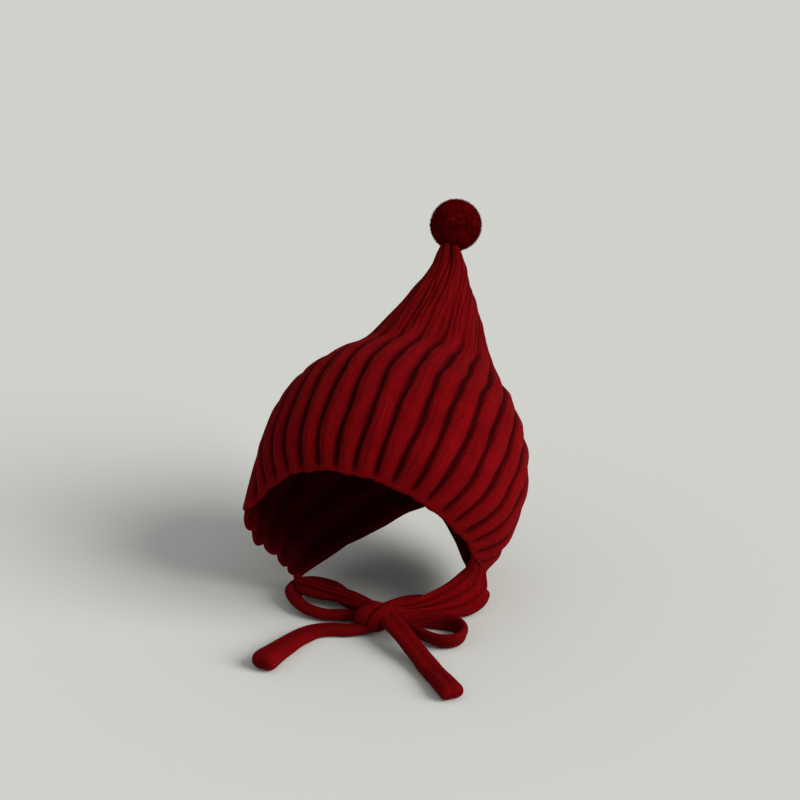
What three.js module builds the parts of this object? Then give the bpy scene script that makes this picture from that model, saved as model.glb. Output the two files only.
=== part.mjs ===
// A baby's knitted elf hat: a rib-knit pixie bonnet with a pompom on its point, tied in a bow.
// Millimetres, +Z up. The wearer looks along -Y. The origin is where the crown sits on the head.
//
// The cap is one corrugated wall. Its rib columns start at the face rim, run back over the head,
// and end in a seam down the middle of the back, so fewer and fewer of them reach the point.
// Every place on the wall is found from two numbers: the rib (counted from the fold over the
// forehead, negative on the wearer's right) and the travel (0 at the face rim, 1 at the point).

import * as THREE from 'three';
import { mergeVertices } from 'three/addons/utils/BufferGeometryUtils.js';

// Driving dimensions
const crownToHeadCentre = 70;   // from the inside of the crown down to the centre of a 44 cm head
const floorBelowCentre = 72;    // the ties lie on a table this far below the head's centre
const wallThickness = 2.6;      // one layer of the knitting
const ribDepth = 1.8;           // from a rib's crest down to the groove beside it
const ribSharpness = 4;         // higher makes the grooves narrower
const lastRib = 12.7;           // ribs from the forehead fold to each neck edge
const tipRib = 2.2;             // ribs that reach the point, on each side of the fold
const rimLean = 33;             // how far the axis of the rim's rings rises behind the head, degrees
const rimRows = 6;              // rows of facets between the rim and the first full ring
const bodyRows = 14;            // rows of facets from there to the seam or the point
const pompomRadius = 15.1;
const pompomLift = 14.0;        // from the point's end ring to the pompom's centre
const tipHollow = 1.9;          // the point's end is dished, for the pompom to sit in
const pompomTufts = 0.45;       // how far the tufts stand out of the ball and back into it
const tieWidth = 10.5;          // the ties are flat knitted cords
const tieThickness = 4.2;
const knotSize = { width: 19, depth: 15, height: 13 };

// A row for each ring of the wall, from the rim to the point. lean is how far the ring's axis
// rises behind the head, out is how far the ring lies along it, side moves the ring to the
// wearer's left, pitch is a rib's share of the turn at the front, and ribs is how many ribs
// are left between the fold and the seam.
const rings = [
  { travel: 0.16, lean: 33.0, out: -19.0, radius: 73.0, side: 1.5, pitch: 10.2, ribs: 12.7 },
  { travel: 0.28, lean: 33.0, out: 0.0, radius: 74.0, side: 2.0, pitch: 10.2, ribs: 12.7 },
  { travel: 0.40, lean: 34.0, out: 19.0, radius: 70.8, side: 2.2, pitch: 10.5, ribs: 12.7 },
  { travel: 0.50, lean: 37.0, out: 34.5, radius: 64.0, side: 2.8, pitch: 11.5, ribs: 11.6 },
  { travel: 0.58, lean: 42.0, out: 49.2, radius: 53.8, side: 4.0, pitch: 13.0, ribs: 10.0 },
  { travel: 0.65, lean: 46.0, out: 59.5, radius: 43.5, side: 5.5, pitch: 15.5, ribs: 8.8 },
  { travel: 0.70, lean: 48.0, out: 66.0, radius: 38.0, side: 6.2, pitch: 17.5, ribs: 8.0 },
  { travel: 0.79, lean: 48.5, out: 82.0, radius: 29.6, side: 6.7, pitch: 19.5, ribs: 6.6 },
  { travel: 0.88, lean: 49.0, out: 99.3, radius: 21.2, side: 7.0, pitch: 24.0, ribs: 5.0 },
  { travel: 0.95, lean: 49.5, out: 116.0, radius: 12.9, side: 6.8, pitch: 34.0, ribs: 3.4 },
  { travel: 1.00, lean: 50.0, out: 134.8, radius: 6.7, side: 4.4, pitch: 50.0, ribs: 2.2 },
];
const rimTravel = rings[0].travel;
const napeTravel = 0.40;        // the neck edge ends here, at the foot of the back seam

// How far round each side the wall reaches, in degrees from the fold over the forehead
const neckEdge = [
  { travel: 0.00, reach: 127 },
  { travel: 0.16, reach: 150 },
  { travel: 0.28, reach: 162 },
  { travel: 0.36, reach: 171 },
  { travel: 0.40, reach: 180 },
];

// The face rim, from the wearer's right corner over the forehead to the left corner. around and
// polar place it about the rim's axis, and reach is its distance from the head's centre, which
// grows where the right side flares away from the cheek.
const rim = [
  { rib: -12.7, around: -127, polar: 140.0, reach: 82.0 },
  { rib: -10.7, around: -107, polar: 138.5, reach: 81.5 },
  { rib: -8.8, around: -88, polar: 134.0, reach: 86.0 },
  { rib: -7.3, around: -73, polar: 128.5, reach: 86.5 },
  { rib: -6.3, around: -63, polar: 129.5, reach: 79.0 },
  { rib: -5.0, around: -50, polar: 129.5, reach: 75.5 },
  { rib: -3.0, around: -30, polar: 128.5, reach: 73.5 },
  { rib: 0.0, around: 0, polar: 129.0, reach: 73.5 },
  { rib: 3.0, around: 30, polar: 129.8, reach: 73.5 },
  { rib: 6.0, around: 60, polar: 130.3, reach: 73.5 },
  { rib: 9.0, around: 90, polar: 128.5, reach: 73.3 },
  { rib: 10.6, around: 108, polar: 125.0, reach: 75.5 },
  { rib: 11.6, around: 124, polar: 119.0, reach: 79.0 },
  { rib: 12.7, around: 143, polar: 121.0, reach: 77.0 },
];

// The ties, as places on their centre lines: across, back and height above the table
const tieRoutes = {
  chin_tie_right: {
    upright: false,
    route: [
      [-42.0, -36.4, 9.2], [-35.5, -38.4, 8.8], [-27.3, -38.6, 8.4], [-17.2, -39.6, 8.6], [-7.8, -42.2, 8.8],
      [-1.0, -45.2, 9.2], [3.2, -47.4, 9.6],
    ],
  },
  chin_tie_left: {
    upright: false,
    route: [
      [54.6, -8.4, 11.6], [54.4, -15.4, 8.6], [50.0, -22.6, 6.6], [42.8, -28.4, 6.8], [33.8, -33.4, 7.6],
      [26.8, -37.2, 8.6], [22.0, -41.4, 9.4], [18.2, -45.8, 10.2],
    ],
  },
  bow_loop_right: {
    upright: false,
    route: [
      [1.6, -46.5, 3.0], [-8.6, -37.6, 2.6], [-18.6, -32.2, 2.5], [-28.6, -28.0, 2.5], [-37.0, -27.6, 2.5],
      [-42.8, -31.4, 2.5], [-43.6, -38.8, 2.5], [-38.6, -46.8, 2.5], [-30.0, -52.2, 2.6], [-20.4, -53.6, 3.0],
      [-10.4, -52.0, 3.8], [1.8, -50.8, 4.8],
    ],
  },
  bow_loop_left: {
    upright: true,
    route: [
      [21.6, -50.2, 5.6], [28.8, -46.4, 5.4], [37.4, -43.8, 5.4], [46.8, -42.8, 5.4], [54.4, -45.6, 5.4],
      [58.6, -52.0, 5.4], [57.4, -59.4, 5.4], [50.8, -63.2, 5.4], [40.8, -60.8, 5.4], [31.0, -56.0, 5.4],
      [22.2, -52.2, 5.6],
    ],
  },
  bow_tail_right: {
    upright: false,
    route: [
      [6.2, -61.2, 3.7], [-1.8, -64.9, 2.7], [-9.8, -67.2, 2.4], [-16.6, -72.0, 2.4], [-21.2, -80.8, 2.4],
      [-24.4, -93.4, 2.4], [-26.4, -105.4, 2.4], [-27.6, -116.0, 2.4],
    ],
  },
  bow_tail_left: {
    upright: false,
    route: [
      [19.0, -58.1, 10.6], [24.8, -63.4, 10.4], [31.4, -69.4, 9.2], [39.6, -76.4, 6.8], [49.4, -85.0, 4.2],
      [60.0, -95.6, 2.8], [72.2, -108.8, 2.4],
    ],
  },
};
const knotPlace = [11.6, -52.6, 7.2];

const yarnRed = new THREE.Color('#8e0b14');
const pompomRed = new THREE.Color('#7d0a12');

function material(colour) {
  return new THREE.MeshStandardMaterial({ color: colour, roughness: 0.95, metalness: 0 });
}

function radians(degrees) {
  return degrees * Math.PI / 180;
}

// A smooth curve through rows of a table that never overshoots them, read at one value of a column
function follow(rows, along, column, value) {
  const last = rows.length - 1;
  if (value <= rows[0][along]) return rows[0][column];
  if (value >= rows[last][along]) return rows[last][column];
  let i = 0;
  while (value > rows[i + 1][along]) i += 1;
  const slope = (k) => (rows[k + 1][column] - rows[k][column]) / (rows[k + 1][along] - rows[k][along]);
  const gradient = (k) => {
    if (k === 0) return slope(0);
    if (k === last) return slope(last - 1);
    const before = slope(k - 1);
    const after = slope(k);
    return before * after <= 0 ? 0 : 2 * before * after / (before + after);
  };
  const width = rows[i + 1][along] - rows[i][along];
  const s = (value - rows[i][along]) / width;
  const rise = (1 + 2 * s) * (1 - s) ** 2 * rows[i][column] + s * s * (3 - 2 * s) * rows[i + 1][column];
  return rise + width * (s * (1 - s) ** 2 * gradient(i) - s * s * (1 - s) * gradient(i + 1));
}

// Where a rib has got to round its ring. The ribs at the front keep their pitch, and those
// nearest the neck edge or the seam take up what is left of the turn.
function turnOf(rib, travel) {
  const ribs = follow(rings, 'travel', 'ribs', travel);
  const pitch = follow(rings, 'travel', 'pitch', travel);
  const reach = follow(neckEdge, 'travel', 'reach', travel);
  const count = Math.min(Math.abs(rib), ribs);
  const turn = pitch * count + (reach - pitch * ribs) * (count / ribs) ** 4;
  return Math.sign(rib) * Math.min(turn, reach);
}

// A ring's point, from its axis's lean and its place along it
function ringPoint(lean, out, radius, side, turn) {
  const rise = radians(lean);
  const angle = radians(turn);
  return new THREE.Vector3(
    side + radius * Math.sin(angle),
    out * Math.cos(rise) - radius * Math.cos(angle) * Math.sin(rise),
    out * Math.sin(rise) + radius * Math.cos(angle) * Math.cos(rise),
  );
}

// The rib crests' surface at a turn about the axis, from the first full ring to the point
function crestAt(turn, travel) {
  const read = (column) => follow(rings, 'travel', column, travel);
  return ringPoint(read('lean'), read('out'), read('radius'), read('side'), turn);
}

// The rib crests' surface between the face rim and the first full ring
function rimCrest(rib, travel) {
  const read = (column) => follow(rim, 'rib', column, rib);
  const first = rings[0];
  const share = travel / rimTravel;
  const firstPolar = THREE.MathUtils.radToDeg(Math.atan2(first.radius, first.out));
  const firstReach = Math.hypot(first.radius, first.out);
  const polar = radians(THREE.MathUtils.lerp(read('polar'), firstPolar, share));
  const reach = firstReach + (read('reach') - firstReach) * (1 - share) ** 2;
  const turn = THREE.MathUtils.lerp(read('around'), turnOf(rib, rimTravel), share);
  return ringPoint(rimLean, reach * Math.cos(polar), reach * Math.sin(polar), first.side * share, turn);
}

function crestPoint(rib, travel) {
  return travel < rimTravel ? rimCrest(rib, travel) : crestAt(turnOf(rib, travel), travel);
}

// The outward direction, from two short steps on the surface
function outward(rib, travel) {
  const step = 0.004;
  let across;
  let along;
  if (travel < rimTravel) {
    const low = Math.max(rib - 0.05, -lastRib);
    const high = Math.min(rib + 0.05, lastRib);
    across = rimCrest(high, travel).sub(rimCrest(low, travel));
    along = rimCrest(rib, travel + step).sub(rimCrest(rib, travel));
  } else {
    const turn = turnOf(rib, travel);
    const low = Math.max(travel - step, rimTravel);
    const high = Math.min(travel + step, 1);
    across = crestAt(turn + 0.5, travel).sub(crestAt(turn - 0.5, travel));
    along = crestAt(turn, high).sub(crestAt(turn, low));
  }
  return across.cross(along).normalize();
}

// A point of the wall: depth 0 on the outside and the wall's thickness on the inside. Both
// faces dip together in the grooves between ribs, as rib knitting does.
function wallPoint(rib, travel, depth) {
  const groove = Math.abs(Math.sin(Math.PI * rib)) ** ribSharpness;
  const sink = depth + ribDepth * groove;
  return crestPoint(rib, travel).addScaledVector(outward(rib, travel), -sink);
}

// How far a rib travels before it meets the back seam or the end of the neck edge
function endOf(rib) {
  const count = Math.abs(rib);
  if (count <= tipRib) return 1;
  if (count >= lastRib) return napeTravel;
  let low = napeTravel;
  let high = 1;
  for (let i = 0; i < 40; i += 1) {
    const middle = (low + high) / 2;
    if (follow(rings, 'travel', 'ribs', middle) > count) low = middle;
    else high = middle;
  }
  return (low + high) / 2;
}

// The ribs' crests and grooves, with a line on each flank, from one neck edge to the other
function ribLines() {
  const lines = [-lastRib];
  for (let groove = -12.5; groove <= 12.5; groove += 1) {
    lines.push(groove);
    if (groove < 12) lines.push(groove + 0.22, groove + 0.5, groove + 0.78);
  }
  lines.push(lastRib);
  return lines;
}

// The travels of one rib's rows: an even share up to the first full ring, and an even share on
function rowTravels(rib) {
  const travels = [];
  for (let row = 0; row < rimRows; row += 1) travels.push(rimTravel * row / rimRows);
  const end = endOf(rib);
  for (let row = 0; row <= bodyRows; row += 1) {
    travels.push(rimTravel + (end - rimTravel) * row / bodyRows);
  }
  return travels;
}

// One closed mesh from triangles, each a list of three points
function closedGeometry(triangles) {
  const geometry = new THREE.BufferGeometry().setFromPoints(triangles.flat());
  const merged = mergeVertices(geometry, 1e-4);
  merged.computeVertexNormals();
  return merged;
}

function knittedCap() {
  const lines = ribLines();
  const faces = [0, wallThickness].map((depth) => lines.map((rib) => {
    const column = rowTravels(rib).map((travel) => wallPoint(rib, travel, depth));
    if (Math.abs(rib) > tipRib) {
      // at the seam the two sides of the cap meet in its middle plane
      const side = follow(rings, 'travel', 'side', endOf(rib));
      column[column.length - 1].x = side;
    }
    return column;
  }));
  const triangles = [];
  const quad = (a, b, c, d) => triangles.push([a, b, c], [a, c, d]);
  const [outer, inner] = faces;
  const lastLine = lines.length - 1;
  const lastRow = outer[0].length - 1;
  for (let i = 0; i < lastLine; i += 1) {
    for (let j = 0; j < lastRow; j += 1) {
      quad(outer[i][j], outer[i + 1][j], outer[i + 1][j + 1], outer[i][j + 1]);
      quad(inner[i][j], inner[i][j + 1], inner[i + 1][j + 1], inner[i + 1][j]);
    }
    // the edge round the face
    quad(outer[i][0], inner[i][0], inner[i + 1][0], outer[i + 1][0]);
  }
  for (let j = 0; j < lastRow; j += 1) {
    // the two neck edges
    quad(outer[0][j], outer[0][j + 1], inner[0][j + 1], inner[0][j]);
    quad(outer[lastLine][j], inner[lastLine][j], inner[lastLine][j + 1], outer[lastLine][j + 1]);
  }
  // the closed end of the point, dished outside for the pompom
  const axis = crestAt(0, 1).add(crestAt(180, 1)).multiplyScalar(0.5);
  const lean = radians(rings[rings.length - 1].lean);
  const pointing = new THREE.Vector3(0, Math.cos(lean), Math.sin(lean));
  const dish = axis.clone().addScaledVector(pointing, -tipHollow);
  const inside = axis.clone().addScaledVector(pointing, -tipHollow - 2 * wallThickness);
  const first = lines.findIndex((rib) => rib >= -tipRib) - 1;
  const end = lines.length - 1 - first;
  for (let i = first; i < end; i += 1) {
    triangles.push([outer[i][lastRow], outer[i + 1][lastRow], dish]);
    triangles.push([inner[i + 1][lastRow], inner[i][lastRow], inside]);
  }
  const cap = new THREE.Mesh(closedGeometry(triangles), material(yarnRed));
  cap.name = 'knitted_cap';
  return cap;
}

// The middle of the point's end ring and the way the point leads there
function tipFrame() {
  const last = rings[rings.length - 1];
  const lean = radians(last.lean);
  const centre = crestAt(0, 1).add(crestAt(180, 1)).multiplyScalar(0.5);
  return { centre, pointing: new THREE.Vector3(0, Math.cos(lean), Math.sin(lean)) };
}

// A clipped ball of yarn ends: a close sphere with low tufts all over it
function pompom() {
  const ball = new THREE.IcosahedronGeometry(pompomRadius - pompomTufts, 6);
  ball.deleteAttribute('normal');
  ball.deleteAttribute('uv');
  const geometry = mergeVertices(ball, 1e-4);
  const places = geometry.attributes.position;
  const point = new THREE.Vector3();
  for (let i = 0; i < places.count; i += 1) {
    point.fromBufferAttribute(places, i);
    const way = point.clone().normalize().multiplyScalar(9);
    const tuft = Math.sin(way.x + 2 * way.y) * Math.sin(way.y - 1.7 * way.z) + Math.sin(way.z + 1.3 * way.x) / 2;
    point.setLength(pompomRadius - pompomTufts + pompomTufts * 0.6 * tuft);
    places.setXYZ(i, point.x, point.y, point.z);
  }
  geometry.computeVertexNormals();
  const mesh = new THREE.Mesh(geometry, material(pompomRed));
  const { centre, pointing } = tipFrame();
  mesh.position.copy(centre).addScaledVector(pointing, pompomLift);
  mesh.name = 'pompom';
  return mesh;
}

function onTable([across, back, height]) {
  return new THREE.Vector3(across, back, height - floorBelowCentre);
}

// A flat knitted cord: an oval section led along its route, lying flat or standing on its edge
function tie(name, { upright, route }) {
  const high = (upright ? tieWidth : tieThickness) / 2;
  const wide = (upright ? tieThickness : tieWidth) / 2;
  const oval = [];
  for (let k = 0; k < 8; k += 1) {
    const angle = Math.PI * (k + 0.5) / 4;
    oval.push(new THREE.Vector2(high * Math.cos(angle) / Math.cos(Math.PI / 8), wide * Math.sin(angle)));
  }
  const line = new THREE.CatmullRomCurve3(route.map(onTable), false, 'centripetal');
  const steps = Math.max(4, Math.round(line.getLength() / tieWidth));
  const settings = { steps, extrudePath: line, bevelEnabled: false, curveSegments: 1 };
  const tube = new THREE.ExtrudeGeometry(new THREE.Shape(oval), settings);
  tube.deleteAttribute('normal');
  tube.deleteAttribute('uv');
  const geometry = mergeVertices(tube, 1e-4);
  geometry.computeVertexNormals();
  const mesh = new THREE.Mesh(geometry, material(yarnRed));
  mesh.name = name;
  return mesh;
}

// The bow's knot: a soft lump with a dip along its middle, where the ties cross
function knot() {
  const geometry = new THREE.SphereGeometry(0.5, 14, 10);
  const places = geometry.attributes.position;
  const point = new THREE.Vector3();
  for (let i = 0; i < places.count; i += 1) {
    point.fromBufferAttribute(places, i);
    const waist = 1 - 0.1 * Math.cos(2 * Math.PI * point.x);
    point.set(point.x * knotSize.width, point.y * knotSize.depth * waist, point.z * knotSize.height * waist);
    places.setXYZ(i, point.x, point.y, point.z);
  }
  geometry.deleteAttribute('normal');
  geometry.deleteAttribute('uv');
  const merged = mergeVertices(geometry, 1e-4);
  merged.computeVertexNormals();
  const mesh = new THREE.Mesh(merged, material(yarnRed));
  mesh.position.copy(onTable(knotPlace));
  mesh.name = 'bow_knot';
  return mesh;
}

const hat = new THREE.Group();
const fromHeadCentre = new THREE.Group();
fromHeadCentre.position.z = -crownToHeadCentre;
fromHeadCentre.add(knittedCap(), pompom(), knot());
for (const [name, shape] of Object.entries(tieRoutes)) fromHeadCentre.add(tie(name, shape));
hat.add(fromHeadCentre);
hat.updateMatrixWorld(true);

export default hat;
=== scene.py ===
# %% [markdown]
# # A baby's rib-knit pixie bonnet
# The real hat is knitted in one piece, folded over the forehead and sewn up the back, so its
# ribs start at the face edge, run back over the head and stop at the seam. A clipped pompom
# sits on the point, and two flat knitted ties meet in a bow under the face opening.
# The CAD model settles where everything is. This scene rebuilds each soft piece on the same
# surfaces, with the rounded ribs, the stitches and the yarn that CAD leaves out.

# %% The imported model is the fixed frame
import math

import bmesh
import bpy
import numpy as np
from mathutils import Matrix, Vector


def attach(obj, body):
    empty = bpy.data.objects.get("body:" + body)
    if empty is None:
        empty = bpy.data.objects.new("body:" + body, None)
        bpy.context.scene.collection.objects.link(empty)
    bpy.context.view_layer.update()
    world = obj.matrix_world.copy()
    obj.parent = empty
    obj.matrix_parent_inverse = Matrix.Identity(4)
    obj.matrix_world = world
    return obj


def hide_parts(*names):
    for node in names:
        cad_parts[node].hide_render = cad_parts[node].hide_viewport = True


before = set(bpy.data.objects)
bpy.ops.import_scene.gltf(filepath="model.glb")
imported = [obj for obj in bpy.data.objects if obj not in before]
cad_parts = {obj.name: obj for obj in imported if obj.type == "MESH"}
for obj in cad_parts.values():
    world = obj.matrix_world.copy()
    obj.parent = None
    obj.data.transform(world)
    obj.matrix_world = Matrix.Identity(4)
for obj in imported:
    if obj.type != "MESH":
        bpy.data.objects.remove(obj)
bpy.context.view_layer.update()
MM = 0.001

# %% [markdown]
# ## The camera
# A long lens far away keeps the hat's proportions. The camera stands 800 mm from the hat, 20
# degrees to the side and 20 degrees above it, and the hat fills two thirds of the frame.

# %% Place the camera
CAMERA_DISTANCE = 800.0 * MM
TO_THE_SIDE = math.radians(20)
ABOVE = math.radians(20)
CAMERA_AIM = Vector((-0.05, 13.01, -36.36)) * MM
FIELD_OF_VIEW = math.radians(30.8)
NEAREST, FARTHEST = 0.05, 40.0    # m, what the camera sees

towards_camera = Vector((
    math.sin(TO_THE_SIDE) * math.cos(ABOVE), -math.cos(TO_THE_SIDE) * math.cos(ABOVE), math.sin(ABOVE),
))
camera = bpy.data.objects.new("camera", bpy.data.cameras.new("camera"))
bpy.context.scene.collection.objects.link(camera)
camera.location = CAMERA_AIM + towards_camera * CAMERA_DISTANCE
camera.rotation_euler = (-towards_camera).to_track_quat("-Z", "Y").to_euler()
camera.data.angle = FIELD_OF_VIEW
camera.data.clip_start, camera.data.clip_end = NEAREST, FARTHEST
bpy.context.scene.camera = camera
print("the camera stands at", [round(v / MM, 1) for v in camera.location], "mm")

# %% [markdown]
# ## From a flat grid to a knitted surface
# Knitting is a flat grid of stitches that is bent into shape, so every knitted piece here
# starts as a plain grid. Its corners move to places worked out from stitch columns and rows,
# and its UV map counts the same columns and rows, so the stitches follow the cloth everywhere.
# Where two sides of the cloth meet, their corners fall together and are merged.

# %% A grid laid on a table of places
def laid_grid(shape, places, counts, painted_shade, flip=False):
    """Adds a grid to a bmesh. places, counts and groove hold a value for each of its corners."""
    across, along = places.shape[0] - 1, places.shape[1] - 1
    sheet = bmesh.new()
    stitches = sheet.loops.layers.uv.new("knit")
    # this layer holds each corner's painted shade, which the yarn's material mixes in towards its
    # darkest colour
    depth = sheet.verts.layers.float.new("painted_shade")
    bmesh.ops.create_grid(sheet, x_segments=across, y_segments=along, size=0.5, calc_uvs=False)
    cell = {}
    for vert in sheet.verts:
        i = round((vert.co.x + 0.5) * across)
        j = round((vert.co.y + 0.5) * along)
        cell[vert] = (i, j)
        vert.co = places[i, j] * MM
        vert[depth] = painted_shade[i, j]
    for face in sheet.faces:
        face.smooth = True
        for loop in face.loops:
            loop[stitches].uv = counts[cell[loop.vert]]
    if flip:
        bmesh.ops.reverse_faces(sheet, faces=sheet.faces)
    part = bpy.data.meshes.new("part")
    sheet.to_mesh(part)
    sheet.free()
    shape.from_mesh(part)
    bpy.data.meshes.remove(part)


# %% Finish a piece and count its open edges
def count_open_edges(mesh):
    uses = np.zeros(len(mesh.edges), int)
    edge_of_loop = np.empty(len(mesh.loops), np.int32)
    mesh.loops.foreach_get("edge_index", edge_of_loop)
    np.add.at(uses, edge_of_loop, 1)
    return int((uses != 2).sum())


def finished(shape, name, material, merge=0.02):
    """Merges the corners that meet and makes the bmesh an object at the origin."""
    bmesh.ops.remove_doubles(shape, verts=shape.verts, dist=merge * MM)
    mesh = bpy.data.meshes.new(name)
    shape.to_mesh(mesh)
    shape.free()
    mesh.materials.append(material)
    piece = bpy.data.objects.new(name, mesh)
    bpy.context.scene.collection.objects.link(piece)
    triangles = sum(len(p.vertices) - 2 for p in mesh.polygons)
    print(name, "has", triangles, "triangles and", count_open_edges(mesh), "open edges")
    return piece


# %% [markdown]
# ## Yarn
# The hat is knitted from a soft, matte, dark red cotton-and-wool yarn. The eye reads it from
# three things: rows of V shaped stitches, fine fibres that soften every edge, and grooves that
# fall almost to black. The stitches are a bump pattern on the UV map with painted shade between
# them, the fibres are a fine noise, a little sheen and specks of painted highlight, and the
# grooves are real, with painted shade in them as well.

# %% Colours and a node helper
def linear(hex_colour):
    """An sRGB hex colour as the linear values that shaders use."""
    parts = [int(hex_colour[i:i + 2], 16) / 255 for i in (1, 3, 5)]
    return [*(p / 12.92 if p <= 0.04045 else ((p + 0.055) / 1.055) ** 2.4 for p in parts), 1.0]


def add(tree, kind, inputs=(), out=0, **settings):
    """Adds a node with its settings, links or sets its inputs by name or order, and gives an output."""
    node = tree.nodes.new(kind)
    for key, value in settings.items():
        setattr(node, key, value)
    for key, value in (inputs.items() if isinstance(inputs, dict) else enumerate(inputs)):
        if isinstance(value, bpy.types.NodeSocket):
            tree.links.new(value, node.inputs[key])
        else:
            node.inputs[key].default_value = value
    return node.outputs[out] if node.outputs else node


def new_material(name):
    material = bpy.data.materials.new(name)
    material.use_nodes = True
    material.node_tree.nodes.clear()
    return material, material.node_tree


# %% Rib and tie knitting
STITCH_HEIGHT = 2.4    # mm between rows, about a third more than the real yarn's, so that it shows
COLUMNS_IN_RIB = 6     # stitch columns, 2.1 mm apart where a rib is stretched


def stitch_pattern(tree, place):
    """The relief of the V shaped stitches, counted on the UV map, from 0 to 1."""
    stitches = add(tree, "ShaderNodeUVMap", uv_map="knit")
    column = add(tree, "ShaderNodeSeparateXYZ", [stitches], out="X")
    row = add(tree, "ShaderNodeSeparateXYZ", [stitches], out="Y")
    # hand knitting wanders by a fifth of a stitch, in waves about 4 mm long
    wander = add(tree, "ShaderNodeTexNoise", {
        "Vector": place, "Scale": 0.26 / MM, "Detail": 1.0,
    }, out="Fac")
    column = add(tree, "ShaderNodeMath", [wander, 0.4, column], operation="MULTIPLY_ADD")
    row = add(tree, "ShaderNodeMath", [wander, 0.4, row], operation="MULTIPLY_ADD")
    # off is 0 on a column's middle line and 0.5 between two columns
    column = add(tree, "ShaderNodeMath", [column], operation="FRACT")
    column = add(tree, "ShaderNodeMath", [column, 0.5], operation="SUBTRACT")
    off = add(tree, "ShaderNodeMath", [column], operation="ABSOLUTE")
    # each stitch is a V: two legs, which lean outwards as they climb to the next row
    legs = add(tree, "ShaderNodeMath", [off, 4.0, -1.0], operation="MULTIPLY_ADD")
    legs = add(tree, "ShaderNodeMath", [legs], operation="ABSOLUTE")
    legs = add(tree, "ShaderNodeMath", [1.0, legs], operation="SUBTRACT")
    legs = add(tree, "ShaderNodeMath", [legs, 0.6], operation="POWER")
    lean_out = add(tree, "ShaderNodeMath", [off, -1.7, row], operation="MULTIPLY_ADD")
    lean_out = add(tree, "ShaderNodeMath", [lean_out], operation="FRACT")
    lean_out = add(tree, "ShaderNodeMath", [lean_out, math.pi], operation="MULTIPLY")
    strand = add(tree, "ShaderNodeMath", [lean_out], operation="SINE")
    strand = add(tree, "ShaderNodeMath", [strand, 0.6, 0.4], operation="MULTIPLY_ADD")
    return add(tree, "ShaderNodeMath", [legs, strand], operation="MULTIPLY")


# %% The yarn itself
# the first is a painted highlight for loose fibres, the second tints the sheen
FIBRE_HIGHLIGHT = "#a5121b"
YARN_SHEEN = "#c01018"


def knitting(name, crest, valley, deep, relief):
    """A matte knitted yarn in three colours from light to dark, with its relief in mm. The lightest is
    the yarn's own colour, the valley colour is painted shade between the stitches and the deep colour is
    painted shade in the grooves.
    """
    material, tree = new_material(name)
    place = add(tree, "ShaderNodeTexCoord", out="Object")
    stitch = stitch_pattern(tree, place)
    # fibres about 0.6 mm apart, coarser than the real ones, so that they show
    fibre = add(tree, "ShaderNodeTexNoise", {
        "Vector": place, "Scale": 1.7 / MM, "Detail": 3.0, "Roughness": 0.7,
    }, out="Fac")
    height = add(tree, "ShaderNodeMath", [fibre, 0.5, stitch], operation="MULTIPLY_ADD")
    bump = add(tree, "ShaderNodeBump", {"Strength": 0.9, "Distance": relief * MM, "Height": height})

    # painted shade: the yarn darkens towards the valley colour where the stitches sink, and the fibre
    # noise adds random tone
    shade = add(tree, "ShaderNodeMath", [fibre, 0.7, stitch], operation="MULTIPLY_ADD")
    shade = add(tree, "ShaderNodeMapRange", {"Value": shade, "From Min": 0.4, "From Max": 1.2})
    yarn = add(tree, "ShaderNodeMix", {
        0: shade, 6: linear(valley), 7: linear(crest),
    }, out=2, data_type="RGBA")
    # painted highlight: lighter specks where the fibre noise is high, for loose fibres that catch the
    # light
    loose = add(tree, "ShaderNodeMapRange", {
        "Value": fibre, "From Min": 0.58, "From Max": 0.80, "To Max": 0.6,
    })
    yarn = add(tree, "ShaderNodeMix", {
        0: loose, 6: yarn, 7: linear(FIBRE_HIGHLIGHT),
    }, out=2, data_type="RGBA")
    # the dye took unevenly, in patches about 14 mm wide
    mottle = add(tree, "ShaderNodeTexNoise", {
        "Vector": place, "Scale": 0.07 / MM, "Detail": 4.0, "Roughness": 0.6,
    }, out="Fac")
    uneven = add(tree, "ShaderNodeMapRange", {
        "Value": mottle, "From Min": 0.3, "From Max": 0.7, "To Min": 0.82, "To Max": 1.12,
    })
    dyed_with_painted_shade = add(tree, "ShaderNodeVectorMath", {0: yarn, "Scale": uneven}, operation="SCALE")
    # painted shade: each corner's stored amount mixes in the darkest colour, in the rib valleys,
    # creases, folds and gathers
    painted_shade = add(tree, "ShaderNodeAttribute", out="Fac", attribute_name="painted_shade")
    colour = add(tree, "ShaderNodeMix", {
        0: painted_shade, 6: dyed_with_painted_shade, 7: linear(deep),
    }, out=2, data_type="RGBA")
    shader = add(tree, "ShaderNodeBsdfPrincipled", {
        "Base Color": colour, "Roughness": 0.95, "Normal": bump, "Specular IOR Level": 0.03,
        "Sheen Weight": 0.03, "Sheen Roughness": 0.5, "Sheen Tint": linear(YARN_SHEEN),
    })
    add(tree, "ShaderNodeOutputMaterial", {"Surface": shader})
    return material


# in each, the middle colour is painted shade between the stitches and the darkest is painted shade in
# the grooves and creases
rib_knit = knitting("matte_rib_knit", "#80050a", "#580206", "#1e0003", 0.6)
tie_knit = knitting("matte_tie_knit", "#700408", "#4c0205", "#1c0001", 0.5)
print("made", rib_knit.name, "and", tie_knit.name)

# %% [markdown]
# ## The ties
# Each tie is one flat knitted cord: it leaves a corner of the cap, turns in the knot, makes a
# loop, turns in the knot again and ends in a tail on the table. It could be a curve with a
# bevel, but a flat cord twists and widens, so its section is laid along the route by its
# width, thickness and how far it stands on edge. Both edges roll in, which leaves a dip along
# the middle, as a knitted band has.

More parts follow.
